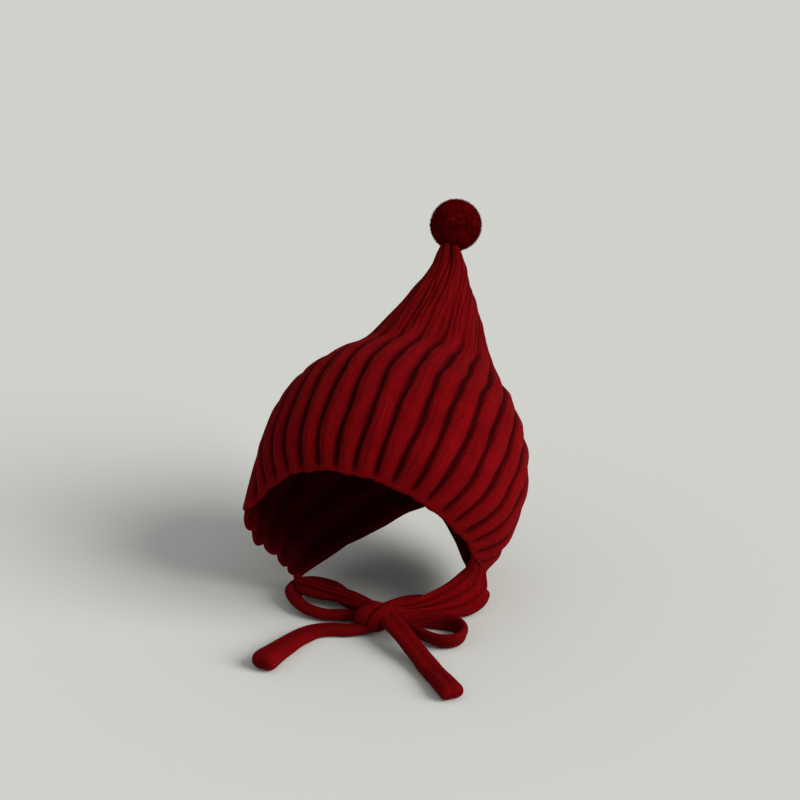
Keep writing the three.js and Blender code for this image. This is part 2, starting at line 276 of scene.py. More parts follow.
# %% Where the ties lie, as in the CAD source
TABLE = -142.0    # mm, the table's height
chin_right = [
    (-42.0, -36.4, 9.2), (-35.5, -38.4, 8.8), (-27.3, -38.6, 8.4), (-17.2, -39.6, 8.6),
    (-7.8, -42.2, 8.8), (-1.0, -45.2, 9.2), (3.2, -47.4, 9.6),
]
loop_right = [
    (1.6, -46.5, 3.0), (-8.6, -37.6, 2.6), (-18.6, -32.2, 2.5), (-28.6, -28.0, 2.5),
    (-37.0, -27.6, 2.5), (-42.8, -31.4, 2.5), (-43.6, -38.8, 2.5), (-38.6, -46.8, 2.5),
    (-30.0, -52.2, 2.6), (-20.4, -53.6, 3.0), (-10.4, -52.0, 3.8), (1.8, -50.8, 4.8),
]
tail_right = [
    (6.2, -61.2, 3.7), (-1.8, -64.9, 2.7), (-9.8, -67.2, 2.4), (-16.6, -72.0, 2.4),
    (-21.2, -80.8, 2.4), (-24.4, -93.4, 2.4), (-26.4, -105.4, 2.4), (-27.6, -116.0, 2.4),
]
chin_left = [
    (54.6, -8.4, 11.6), (54.4, -15.4, 8.6), (50.0, -22.6, 6.6), (42.8, -28.4, 6.8),
    (33.8, -33.4, 7.6), (26.8, -37.2, 8.6), (22.0, -41.4, 9.4), (18.2, -45.8, 10.2),
]
loop_left = [
    (21.6, -50.2, 5.6), (28.8, -46.4, 5.4), (37.4, -43.8, 5.4), (46.8, -42.8, 5.4),
    (54.4, -45.6, 5.4), (58.6, -52.0, 5.4), (57.4, -59.4, 5.4), (50.8, -63.2, 5.4),
    (40.8, -60.8, 5.4), (31.0, -56.0, 5.4), (22.2, -52.2, 5.6),
]
tail_left = [
    (19.0, -58.1, 10.6), (24.8, -63.4, 10.4), (31.4, -69.4, 9.2), (39.6, -76.4, 6.8),
    (49.4, -85.0, 4.2), (60.0, -95.6, 2.8), (72.2, -108.8, 2.4),
]
# the turns inside the knot, which join each tie's three visible runs
turn_in_right = [(9.6, -49.6, 8.6), (13.0, -50.6, 6.4), (10.2, -49.4, 4.4)]
turn_out_right = [(9.6, -52.6, 5.4), (13.0, -55.0, 5.0), (11.4, -57.6, 4.4)]
turn_in_left = [(13.4, -49.8, 9.6), (10.0, -52.2, 8.4), (14.0, -52.0, 6.4)]
turn_out_left = [(14.0, -52.6, 7.0), (10.4, -54.0, 9.0), (13.6, -55.0, 11.0)]


# %% A smooth line through the points of a route
def distance_along(line):
    return np.concatenate([[0], np.cumsum(np.linalg.norm(np.diff(line, axis=0), axis=1))])


def smooth_line(points, step=0.9):
    """Points a step apart on a centripetal Catmull-Rom curve through the given ones, in mm."""
    points = np.array(points, float)
    ends = np.concatenate([[2 * points[0] - points[1]], points, [2 * points[-1] - points[-2]]])
    knots = np.concatenate([[0], np.cumsum(np.linalg.norm(np.diff(ends, axis=0), axis=1) ** 0.5)])
    dense = []
    for k in range(1, len(ends) - 2):
        t0, t1, t2, t3 = knots[k - 1:k + 3]
        p0, p1, p2, p3 = ends[k - 1:k + 3]
        t = np.linspace(t1, t2, 40, endpoint=k == len(ends) - 3)[:, None]
        a1 = (t1 - t) / (t1 - t0) * p0 + (t - t0) / (t1 - t0) * p1
        a2 = (t2 - t) / (t2 - t1) * p1 + (t - t1) / (t2 - t1) * p2
        a3 = (t3 - t) / (t3 - t2) * p2 + (t - t2) / (t3 - t2) * p3
        b1 = (t2 - t) / (t2 - t0) * a1 + (t - t0) / (t2 - t0) * a2
        b2 = (t3 - t) / (t3 - t1) * a2 + (t - t1) / (t3 - t1) * a3
        dense.append((t2 - t) / (t2 - t1) * b1 + (t - t1) / (t2 - t1) * b2)
    dense = np.concatenate(dense)
    gone = distance_along(dense)
    even = np.linspace(0, gone[-1], max(8, round(gone[-1] / step)) + 1)
    return np.stack([np.interp(even, gone, dense[:, k]) for k in range(3)], axis=1)


def on_table(points):
    return [(x, y, z + TABLE) for x, y, z in points]


route_right = chin_right + turn_in_right + loop_right + turn_out_right + tail_right
route_left = chin_left + turn_in_left + loop_left + turn_out_left + tail_left
line_right, line_left = smooth_line(on_table(route_right)), smooth_line(on_table(route_left))
print("tie lengths in mm:", [round(distance_along(line)[-1]) for line in (line_right, line_left)])

# %% [markdown]
# ## A section that changes along the cord
# Hand-knitted ties are narrow where the knot squeezes them and wider and thicker at their
# free ends, where nothing pulls. A short table says so for each tie, and small slow waves keep
# the edges from looking ruled.

# %% Width, thickness and stance along each tie
BLEND = 13                         # points, so that each change is spread over about 12 mm of cord
END_STEPS = (0, 0.04, 0.15, 0.4)   # of the first and last step, for the points that round off an end


def along(line, rows):
    """Smooth values for each point of a line, from rows that start with a share of its length."""
    rows = np.array(rows, float)
    share = distance_along(line) / distance_along(line)[-1]
    kernel = np.hanning(BLEND) / np.hanning(BLEND).sum()
    smooth = []
    for column in rows[:, 1:].T:
        padded = np.pad(np.interp(share, rows[:, 0], column), BLEND // 2, mode="edge")
        smooth.append(np.convolve(padded, kernel, mode="valid"))
    return smooth


def rounded_ends(line):
    """The same line with closer points at both ends, where a cord's end is rounded off."""
    first, last = line[1] - line[0], line[-1] - line[-2]
    start = [line[0] + first * s for s in END_STEPS]
    finish = [line[-1] - last * s for s in reversed(END_STEPS)]
    return np.concatenate([start, line[1:-1], finish])


line_right, line_left = rounded_ends(line_right), rounded_ends(line_left)
# share of the length, width, thickness, stance (0 lies flat, 1 stands on edge, more leans over)
section_right = along(line_right, [
    (0.00, 9.6, 5.0, -0.45),
    (0.08, 9.2, 5.0, -0.45),
    (0.15, 8.8, 5.0, -0.35),
    (0.20, 7.5, 4.0, 0.0),
    (0.28, 9.0, 4.6, 0.1),
    (0.37, 10.5, 5.2, 0.4),
    (0.49, 10.5, 5.2, 0.4),
    (0.58, 9.5, 5.2, 0.1),
    (0.67, 7.0, 4.4, 0.0),
    (0.74, 8.4, 5.2, 0.0),
    (0.84, 10.5, 6.0, 0.0),
    (0.92, 12.2, 7.8, 0.0),
    (1.00, 13.0, 11.0, 0.0),
])
section_left = along(line_left, [
    (0.00, 14.0, 4.4, 0.45),
    (0.10, 14.0, 4.6, 0.45),
    (0.18, 12.5, 4.6, 0.40),
    (0.235, 9.0, 4.2, 0.2),
    (0.27, 7.5, 4.0, 0.5),
    (0.32, 9.5, 4.4, 1.0),
    (0.42, 9.8, 4.4, 1.05),
    (0.50, 9.8, 4.6, 1.32),
    (0.58, 9.8, 4.8, 1.36),
    (0.62, 8.4, 4.2, 1.0),
    (0.655, 7.5, 4.0, 0.5),
    (0.70, 11.6, 5.4, 0.0),
    (0.78, 11.2, 5.6, 0.0),
    (0.90, 11.2, 6.6, 0.0),
    (1.00, 12.6, 8.6, 0.0),
])
print("widest places of the ties in mm:", [s[0].max().round(1) for s in (section_right, section_left)])

# %% Lay a section along a line
AROUND = 32    # corners round a tie


def unit(ways):
    return ways / np.linalg.norm(ways, axis=-1, keepdims=True)


def boxy(wave, power):
    """A sine or cosine that stays longer near 1 and -1, which flattens a round section's sides."""
    return np.sign(wave) * np.abs(wave) ** power


def bell(distance, width):
    """1 at no distance, falling smoothly to nothing over about twice the width."""
    return np.exp(-(distance / width) ** 2)


def lay_section(line, x, z, wide_way, thick_way, columns):
    """Places and stitch counts of a section that reaches x one way and z the other."""
    places = line[None] + x[..., None] * wide_way[None] + z[..., None] * thick_way[None]
    counts = np.zeros((*x.shape, 2))
    counts[..., 0] = np.linspace(0, columns, len(x))[:, None]
    counts[..., 1] = distance_along(line)[None] / STITCH_HEIGHT
    return places, counts


# %% A flat knitted cord
TIE_COLUMNS = 12     # stitch columns round a tie
BLUNT = 4.5          # mm, how far from a free end the cord's corners start to round off
BLUNT_POWER = 3.4    # 2 would make a half circle of the end, more keeps it squarer
DIP = 0.16           # of the thickness, between the rolled edges


def flat_cord(name, line, section, material):
    width, thickness, stance = section
    ahead = unit(np.gradient(line, axis=0))
    aside = unit(np.cross(ahead, (0, 0, 1)))
    above = np.cross(aside, ahead)
    tilt = (stance * math.pi / 2)[:, None]
    wide_way = aside * np.cos(tilt) + above * np.sin(tilt)
    thick_way = above * np.cos(tilt) - aside * np.sin(tilt)

    gone = distance_along(line)
    end = np.minimum(gone, gone[-1] - gone)
    nose = (1 - np.clip(1 - end / BLUNT, 0, 1) ** BLUNT_POWER) ** (1 / BLUNT_POWER)
    rounded = np.sqrt(1 - np.clip(1 - end / (thickness / 2), 0, 1) ** 2)
    # slow waves of a fortieth of the width, so that no edge looks ruled
    wave = 1 + 0.025 * np.sin(gone / 5.3 + 1.0) + 0.02 * np.sin(gone / 2.7 + 2.0)
    angle = np.linspace(0, 2 * math.pi, AROUND + 1)
    across = boxy(np.cos(angle), 0.75)
    up = boxy(np.sin(angle), 0.8) * (1 - DIP * bell(across, 0.22))
    x = across[:, None] * (width * nose * wave / 2)[None, :]
    z = up[:, None] * (thickness * rounded / 2)[None, :]
    places, counts = lay_section(line, x, z, wide_way, thick_way, TIE_COLUMNS)
    crease = 0.35 * bell(across, 0.14) * (np.abs(up) > 0.4)    # painted shade along the dip in the middle of both flat sides
    shape = bmesh.new()
    laid_grid(shape, places, counts, np.broadcast_to(crease[:, None], x.shape))
    return finished(shape, name, material, merge=0.004)


# %% Lay the ties on the table
HALF = 0.48         # of its width or thickness, how far a section with rounded sides reaches
CLEARANCE = 0.15    # mm


def settled(line, section):
    """The line, lifted where the cord would sink into the table."""
    width, thickness, stance = section
    tilt = stance * math.pi / 2
    below = HALF * (width * np.abs(np.sin(tilt)) + thickness * np.abs(np.cos(tilt)))
    lifted = line.copy()
    lifted[:, 2] = np.maximum(line[:, 2], TABLE + below + CLEARANCE)
    return lifted


line_right, line_left = settled(line_right, section_right), settled(line_left, section_left)
tie_right = flat_cord("tie_right", line_right, section_right, tie_knit)
tie_left = flat_cord("tie_left", line_left, section_left, tie_knit)

# %% [markdown]
# ## The knot
# A bow's knot is the other tie's band wrapped round the middle and pulled tight, so the loops
# and tails pinch where they enter it. A closed ring of the same flat cord does this, with two
# turns side by side, round the turns that are already there.

# %% The ring that the wrap follows
KNOT = np.array((10.0, -54.0, TABLE + 7.7))
RING_DEEP, RING_HIGH = 6.6, 4.8    # mm, its half axes from front to back and upwards
RING_LEAN = 1.8                    # mm, how far its top leans towards the wearer's left

turns = np.linspace(0, 2 * math.pi, 61)
bow_way = unit(np.array((1.0, -0.30, 0.0)))     # from loop to loop
back_way = unit(np.array((0.30, 1.0, 0.0)))
upwards = np.array((0.0, 0.0, 1.0))
ring = KNOT + np.cos(turns)[:, None] * back_way * RING_DEEP
ring += np.sin(turns)[:, None] * (upwards * RING_HIGH + bow_way * RING_LEAN)
ring[-1] = ring[0]
print("the knot's ring is", round(distance_along(ring)[-1]), "mm round")

# %% Wrap the knot
WRAP_WIDTH, WRAP_THICKNESS = 16.5, 5.4    # mm, both turns side by side
WRAP_COLUMNS = 14                         # stitch columns round both turns
BETWEEN = 0.18                            # of the half width, where the two turns meet
WRAP_DIP = 0.42                           # of the thickness, how deep the crease between them is


def wrapped_band(name, line, wide_way, material):
    """A closed band whose width lies along one fixed direction, with a crease between two turns."""
    ahead = np.gradient(line, axis=0)
    ahead[0] = ahead[-1] = line[1] - line[-2]
    ahead = unit(ahead)
    wide = unit(wide_way - ahead * (ahead @ wide_way)[:, None])
    out = np.cross(wide, ahead)
    angle = np.linspace(0, 2 * math.pi, 2 * AROUND + 1)
    across = boxy(np.cos(angle), 0.85)
    between = BETWEEN + 0.10 * np.sin(turns * 2)
    dip = WRAP_DIP * bell(across[:, None] - between[None, :], 0.13)
    swell = 1 + 0.05 * np.sin(turns * 3 + 1)
    x = across[:, None] * (WRAP_WIDTH * swell / 2)[None, :]
    z = boxy(np.sin(angle), 0.8)[:, None] * (1 - dip) * WRAP_THICKNESS / 2
    places, counts = lay_section(line, x, z, wide, out, WRAP_COLUMNS)
    shape = bmesh.new()
    # painted shade in the crease between the two turns
    laid_grid(shape, places, counts, dip * 1.2)
    return finished(shape, name, material, merge=0.004)


knot_wrap = wrapped_band("knot_wrap", ring, bow_way, tie_knit)
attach(knot_wrap, "root")
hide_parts("bow_knot")

# %% Attach each tie and hide the CAD solids that it stands for
for piece, line, nodes, on_it in (
    (tie_right, line_right, ("chin_tie_right", "bow_loop_right", "bow_tail_right"), []),
    (tie_left, line_left, ("chin_tie_left", "bow_loop_left", "bow_tail_left"), [knot_wrap]),
):
    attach(piece, "root")
    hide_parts(*nodes)
    distance_along(line)[-1] * MM
    print(piece.name, "leaves the cap at", line[0].round(1), "mm")

# %% [markdown]
# ## The cap's surface
# The cap keeps the round shape that it takes when worn, and is drawn up and back to a point.
# Its shape is a row of rings about an axis that leans back, and each rib's way round the rings
# is known, so any stitch's place follows from its rib and how far it is from the face edge.

# %% Rings, face edge and neck edge, as in the CAD source
def table(names, rows):
    return dict(zip(names.split(), np.array(rows, float).T))


rings = table("travel lean out radius side pitch ribs", [
    (0.16, 33.0, -19.0, 73.0, 1.5, 10.2, 12.7),
    (0.28, 33.0, 0.0, 74.0, 2.0, 10.2, 12.7),
    (0.40, 34.0, 19.0, 70.8, 2.2, 10.5, 12.7),
    (0.50, 37.0, 34.5, 64.0, 2.8, 11.5, 11.6),
    (0.58, 42.0, 49.2, 53.8, 4.0, 13.0, 10.0),
    (0.65, 46.0, 59.5, 43.5, 5.5, 15.5, 8.8),
    (0.70, 48.0, 66.0, 38.0, 6.2, 17.5, 8.0),
    (0.79, 48.5, 82.0, 29.6, 6.7, 19.5, 6.6),
    (0.88, 49.0, 99.3, 21.2, 7.0, 24.0, 5.0),
    (0.95, 49.5, 116.0, 12.9, 6.8, 34.0, 3.4),
    (1.00, 50.0, 134.8, 6.7, 4.4, 50.0, 2.2),
])
neck_edge = table("travel reach", [(0.00, 127), (0.16, 150), (0.28, 162), (0.36, 171), (0.40, 180)])
face_edge = table("rib around polar reach", [
    (-12.7, -127, 140.0, 82.0),
    (-10.7, -107, 138.5, 81.5),
    (-8.8, -88, 134.0, 86.0),
    (-7.3, -73, 128.5, 86.5),
    (-6.3, -63, 129.5, 79.0),
    (-5.0, -50, 129.5, 75.5),
    (-3.0, -30, 128.5, 73.5),
    (0.0, 0, 129.0, 73.5),
    (3.0, 30, 129.8, 73.5),
    (6.0, 60, 130.3, 73.5),
    (9.0, 90, 128.5, 73.3),
    (10.6, 108, 125.0, 75.5),
    (11.6, 124, 119.0, 79.0),
    (12.7, 143, 121.0, 77.0),
])
CROWN_TO_CENTRE = 70.0
RIM_TRAVEL, NAPE_TRAVEL = 0.16, 0.40
RIM_LEAN = 33.0
LAST_RIB, TIP_RIB = 12.7, 2.2


# %% From a rib and its travel to a place
def follow(rows, start, column, value):
    """A smooth curve through a table's rows that never overshoots them."""
    at, level = rows[start], rows[column]
    slope = np.diff(level) / np.diff(at)
    before, after = slope[:-1], slope[1:]
    same_way = before * after > 0
    middle = np.where(same_way, 2 * before * after / np.where(same_way, before + after, 1), 0)
    gradient = np.concatenate([slope[:1], middle, slope[-1:]])
    value = np.clip(value, at[0], at[-1])
    i = np.clip(np.searchsorted(at, value, side="right") - 1, 0, len(at) - 2)
    width = at[i + 1] - at[i]
    s = (value - at[i]) / width
    rise = (1 + 2 * s) * (1 - s) ** 2 * level[i] + s * s * (3 - 2 * s) * level[i + 1]
    return rise + width * (s * (1 - s) ** 2 * gradient[i] - s * s * (1 - s) * gradient[i + 1])


def turn_of(rib, travel):
    """How far round its ring a rib has got, in degrees from the fold over the forehead."""
    ribs = follow(rings, "travel", "ribs", travel)
    pitch = follow(rings, "travel", "pitch", travel)
    reach = follow(neck_edge, "travel", "reach", travel)
    count = np.minimum(np.abs(rib), ribs)
    turn = pitch * count + (reach - pitch * ribs) * (count / ribs) ** 4
    return np.sign(rib) * np.minimum(turn, reach)


def ring_point(lean, out, radius, side, turn):
    rise, angle = np.radians(lean), np.radians(turn)
    return np.stack([
        side + radius * np.sin(angle),
        out * np.cos(rise) - radius * np.cos(angle) * np.sin(rise),
        out * np.sin(rise) + radius * np.cos(angle) * np.cos(rise) - CROWN_TO_CENTRE,
    ], axis=-1)


def crest_at(turn, travel):
    """A place on the rib crests' surface, by its turn round the ring at that travel."""
    ring_at = [follow(rings, "travel", k, travel) for k in ("lean", "out", "radius", "side")]
    return ring_point(*ring_at, turn)


# %% The face edge bends smoothly into the first full ring
RIM_BULGE = 5.0    # mm, which takes the crease out of the joint
NUDGE = 0.01       # of the travel, over which the ribs' drift is measured


def rim_crest(rib, travel):
    """The rib crests' surface between the face edge and the first full ring."""
    around, polar, reach = (follow(face_edge, "rib", k, rib) for k in ("around", "polar", "reach"))
    radius, out, side = rings["radius"][0], rings["out"][0], rings["side"][0]
    share = travel / RIM_TRAVEL
    before = 1 - share
    first_polar = math.degrees(math.atan2(radius, out))
    first_reach = math.hypot(radius, out)
    angle = np.radians(polar + (first_polar - polar) * share)
    far = first_reach + RIM_BULGE * before + (reach - first_reach - RIM_BULGE) * before ** 2
    first_turn = turn_of(rib, RIM_TRAVEL)
    drift = (turn_of(rib, RIM_TRAVEL + NUDGE) - first_turn) / NUDGE * RIM_TRAVEL
    turn = first_turn - drift * before + (around - first_turn + drift) * before ** 2
    return ring_point(RIM_LEAN, far * np.cos(angle), far * np.sin(angle), side * share, turn)


def crest_surface(rib, travel):
    """The crests' surface and the direction that points out of it, from short steps both ways."""
    step = 0.004
    turn = turn_of(rib, travel)
    body = crest_at(turn, travel)
    body_across = crest_at(turn + 0.5, travel) - crest_at(turn - 0.5, travel)
    body_along = crest_at(turn, np.minimum(travel + step, 1))
    body_along = body_along - crest_at(turn, np.maximum(travel - step, RIM_TRAVEL))
    low, high = np.maximum(rib - 0.05, -LAST_RIB), np.minimum(rib + 0.05, LAST_RIB)
    rim = rim_crest(rib, travel)
    rim_across = rim_crest(high, travel) - rim_crest(low, travel)
    rim_along = rim_crest(rib, travel + step) - rim
    in_rim = (travel < RIM_TRAVEL)[..., None]
    out = np.cross(np.where(in_rim, rim_across, body_across), np.where(in_rim, rim_along, body_along))
    return np.where(in_rim, rim, body), unit(out)


def end_of(rib):
    """The travel at which each rib meets the back seam, or 1 where it reaches the point."""
    count = np.abs(rib)
    low, high = np.full(rib.shape, NAPE_TRAVEL), np.ones(rib.shape)
    for _ in range(40):
        middle = (low + high) / 2
        more = follow(rings, "travel", "ribs", middle) > count
        low, high = np.where(more, middle, low), np.where(more, high, middle)
    end = np.where(count <= TIP_RIB + 1e-6, 1.0, (low + high) / 2)
    return np.where(count >= LAST_RIB - 1e-6, NAPE_TRAVEL, end)


print("the ribs 3, 6, 9 and 12 end at", end_of(np.array((3.0, 6.0, 9.0, 12.0))).round(2))

# %% [markdown]
# ## Ribs
# Rib knitting pulls itself into round tubes with narrow, deep valleys between them. CAD has
# them as shallow waves. Here each rib is rounder, its valley is deeper where the ribs are
# wide, and the wall behind it follows, so the inside shows the ribs in reverse. Towards the
# point nothing stretches the cloth, and the ridges of its stitch columns show instead.

# %% Columns and rows of the cap, closer together where an edge is rounded
WALL = 2.6              # mm, one layer of the knitting
CORNERS_IN_RIB = 18
RIM_DEPTH = 32          # mm, about, from the face edge to the first full ring
BODY_ROWS = 60

even_ribs = np.arange(0, LAST_RIB - 0.15, 1 / CORNERS_IN_RIB)
near_edge = LAST_RIB - np.array((0.14, 0.1, 0.07, 0.045, 0.025, 0.012, 0.004, 0.0))
half = np.unique(np.round(np.concatenate([even_ribs, [TIP_RIB], near_edge]), 5))
ribs_across = np.concatenate([-half[:0:-1], half])

rim_mm = np.concatenate([[0, 0.12, 0.35, 0.7, 1.2, 1.9, 2.8, 4.0], np.arange(5.6, 31, 2.2)])
rim_rows = rim_mm / RIM_DEPTH * RIM_TRAVEL
body_rows = np.concatenate([np.linspace(0, 0.955, BODY_ROWS), [0.967, 0.979, 0.990, 1.0]])
rib = np.repeat(ribs_across[:, None], len(rim_rows) + len(body_rows), axis=1)
end = end_of(ribs_across)
travel = np.concatenate([
    np.repeat(rim_rows[None], len(ribs_across), axis=0),
    RIM_TRAVEL + (end[:, None] - RIM_TRAVEL) * body_rows[None],
], axis=1)
crest, out = crest_surface(rib, travel)
steps = np.linalg.norm(np.diff(crest, axis=1), axis=2)
gone = np.concatenate([np.zeros((len(crest), 1)), np.cumsum(steps, axis=1)], axis=1)
print("the cap has", rib.shape[0], "columns and", rib.shape[1], "rows of corners on each side")

# %% Where on the cap each corner is
def fade(value, start, finish):
    """0 before start, 1 after finish, and smooth between."""
    s = np.clip((value - start) / (finish - start), 0, 1)
    return s * s * (3 - 2 * s)


pitch_mm = np.linalg.norm(np.gradient(crest, ribs_across, axis=0), axis=2)
from_neck = (LAST_RIB - np.abs(rib)) * pitch_mm
from_edge = np.minimum(gone, from_neck)
turn = turn_of(rib, travel)
from_seam = follow(rings, "travel", "radius", travel) * (math.pi - np.radians(np.abs(turn)))
on_point = fade(travel, 0.60, 0.78)
flared = fade(-rib, 5.5, 7.5)    # the loose edge on the wearer's right
over_forehead = pitch_mm[len(ribs_across) // 2, len(rim_rows)]
print("where the first full ring crosses the forehead, the ribs are", over_forehead.round(1), "mm apart")

# %% How far the ribs sink between their crests
RIB_DEPTH = 0.29                      # of the distance between two ribs
SHALLOWEST, DEEPEST = 0.8, 3.3        # mm
DEPTH_LOST_ON_POINT = 0.60

# hand knitting is never regular, but both sides must match at the seam
free = fade(from_seam, 0, 8)
uneven = 1 + free * (0.10 * np.sin(1.7 * rib + 11 * travel) + 0.06 * np.sin(4.1 * rib - 23 * travel))
wobble = free * fade(LAST_RIB - np.abs(rib), 0, 1) * (
    0.030 * np.sin(2.9 * rib + 17 * travel) + 0.022 * np.sin(7.3 * rib - 41 * travel)
)
# the loose edge lies flat, but less so where it flares
cast_off = np.maximum(fade(gone, 0.3, 5.8), 0.65 * flared)
rib_depth = np.clip(RIB_DEPTH * pitch_mm, SHALLOWEST, DEEPEST)
rib_depth = rib_depth * (1 - DEPTH_LOST_ON_POINT * on_point) * uneven * cast_off
# from 0 on a crest to 1 in a valley, along half a round tube with a narrow valley beside it
from_crest = 1 - 2 * np.abs(np.mod(np.abs(rib) + wobble, 1) - 0.5)
tube = 0.55 * from_crest ** 2.4 + 0.45 * (1 - np.sqrt(1 - 0.98 * from_crest ** 2))
print("rib depth from", round(float(rib_depth.min()), 2), "to", round(float(rib_depth.max()), 2), "mm")

# %% Ridges of stitch columns
RIDGES_IN_RIB = 3                     # two stitch columns each
RIDGE_DEPTH = 0.32                    # mm
MORE_ON_POINT = 0.42                  # mm

ridges = 0.5 - 0.5 * np.cos(2 * math.pi * RIDGES_IN_RIB * (np.abs(rib) + 2 * wobble))
ridges *= 1 + 0.4 * free * np.sin(3.3 * rib - 13 * travel)
ridge_depth = (RIDGE_DEPTH + MORE_ON_POINT * on_point) * fade(from_edge, 2, 10)
print("ridges up to", round(float((ridge_depth * ridges).max()), 2), "mm deep")

# %% [markdown]
# ## Edges, seam and folds
# The face edge is cast off loosely and stands in small uneven lobes, larger on the flared
# side. The seam at the back is sewn edge to edge, so the cloth dips there. Under the pompom
# the gathered cloth folds in.

# %% The seam, and the gathers under the pompom
SEAM_LENGTH = 190       # mm, what the whole travel measures along the back
SEAM_STITCH = 5.0       # mm between the sewn stitches
SEAM_PINCH = 1.4        # mm deep
SEAM_WIDTH = 2.2        # mm to each side
FOLD_DEPTH = 2.2        # mm
FOLD_TURN = 16          # degrees from the middle of the front, where the fold is
FOLD_WIDTH = 15         # degrees to each side
TUCK = 0.5              # mm, all round

sewn = 1 + 0.35 * np.cos(2 * math.pi * travel * SEAM_LENGTH / SEAM_STITCH)
pinch = SEAM_PINCH * sewn * bell(from_seam, SEAM_WIDTH) * (travel > NAPE_TRAVEL - 0.001)
pinch = pinch * np.clip((1.0 - travel) / 0.1, 0, 1)
fold = FOLD_DEPTH * bell(turn - FOLD_TURN, FOLD_WIDTH) * fade(travel, 0.94, 0.99)
tuck = TUCK * fade(travel, 0.975, 1.0)
print("the seam has", round(SEAM_LENGTH * (1 - NAPE_TRAVEL) / SEAM_STITCH), "stitches")

# %% Lobes along the face edge
LOBE = 0.5              # mm, how far each rib's end stands out of the face edge
FLARED_LOBE = 3.2
LOBE_REACH = 3.5        # mm back from the edge, where a lobe has all but died away

lobe = (LOBE + (FLARED_LOBE - LOBE) * flared) * np.abs(np.cos(math.pi * rib)) ** 0.6
lobe *= 1 + 0.35 * np.sin(2.1 * rib + 0.6) + 0.20 * np.sin(5.3 * rib)
lobe += (1 - flared) * (0.35 * np.sin(2.7 * rib + 1) + 0.20 * np.sin(8.1 * rib))
to_edge = unit(crest[:, :1] - crest[:, 3:4])
shift = (lobe * np.exp(-gone / LOBE_REACH))[..., None] * to_edge
print("the largest lobe stands out", round(float(lobe.max()), 1), "mm")

# %% Both faces of the wall
INNER_DEPTH = 0.60      # of the ribs' depth outside, because the inside is smoother

near = np.clip(1 - from_edge / (WALL / 2), 0, 1)
half_wall = WALL / 2 * np.sqrt(1 - near ** 2)    # both faces meet in a half circle at every edge
inside_share = fade(from_edge, 0, 5)
outer_sink = rib_depth * tube + ridge_depth * ridges + pinch + fold + tuck + WALL / 2 - half_wall
inner_relief = INNER_DEPTH * rib_depth * from_crest ** 2
inner_sink = rib_depth * tube * (1 - inside_share) + inner_relief * inside_share
inner_sink += pinch + fold + tuck + WALL / 2 + half_wall
outside = crest - out * outer_sink[..., None] + shift
inside = crest - out * inner_sink[..., None] + shift
counts = np.stack([rib * COLUMNS_IN_RIB, gone / STITCH_HEIGHT], axis=-1)
print("the cap's wall is", round(float((inner_sink - outer_sink).max()), 2), "mm at its thickest")

# %% Where the cloth is painted darker, as painted shade
# painted shade in the rib valleys, in the sinks between the stitch-column ridges, in the fold under the
# pompom and in the seam's dip
painted_valley_shade = fade(from_crest, 0.44, 0.95) * (1 - 0.65 * on_point) * (0.25 + 0.75 * cast_off)
painted_shade_outside = np.max([
    0.85 * painted_valley_shade,
    (0.12 + 0.30 * on_point) * ridges,
    0.8 * np.clip(fold / FOLD_DEPTH, 0, 1),
    0.5 * np.clip(pinch / SEAM_PINCH, 0, 1),
], axis=0)
# painted shade all over the inside, deeper behind the crests, where the inside sinks
painted_shade_inside = 0.5 + 0.3 * (1 - from_crest)
print("the outside is dark on", round(float((painted_shade_outside > 0.5).mean()) * 100), "percent of its corners")

# %% Make the cap
shape = bmesh.new()
laid_grid(shape, outside, counts, painted_shade_outside)
laid_grid(shape, inside, counts, painted_shade_inside, flip=True)
bmesh.ops.remove_doubles(shape, verts=shape.verts, dist=0.02 * MM)
hole = [edge for edge in shape.edges if edge.is_boundary]
print("edges left open, all round the point:", len(hole))

# %% Close the point, where the last stitches are drawn together
# each new ring is a share of the size of the one before it, and so many mm deeper, but the
# first one rises into the pompom
CLOSING = ((0.8, -0.6), (0.45, 0.2), (0.12, 0.2))

tip = Vector((crest_at(0.0, 1.0) + crest_at(180.0, 1.0)) / 2 * MM)
lean = math.radians(rings["lean"][-1])
pointing = Vector((0, math.cos(lean), math.sin(lean)))
for share, deeper in CLOSING:
    made = bmesh.ops.extrude_edge_only(shape, edges=hole)["geom"]
    hole = [g for g in made if isinstance(g, bmesh.types.BMEdge)]
    for vert in (g for g in made if isinstance(g, bmesh.types.BMVert)):
        from_tip = vert.co - tip
        rise = from_tip.dot(pointing)
        vert.co = tip + (from_tip - pointing * rise) * share + pointing * (rise - deeper * MM)
bmesh.ops.holes_fill(shape, edges=[edge for edge in shape.edges if edge.is_boundary], sides=0)
for face in shape.faces:
    face.smooth = True
print("edges left open now:", sum(edge.is_boundary for edge in shape.edges))

# %% [markdown]
# ## The gathered corners
# Each tie grows out of a lower corner of the cap: the stitches of the last ribs are drawn
# together until they are as narrow as the tie. On the wearer's left this gathered cloth is
# wide and stands up under the chin, on the right it is short. Both are small strips between
# an upper and a lower edge, with the gathers as soft ridges along them.

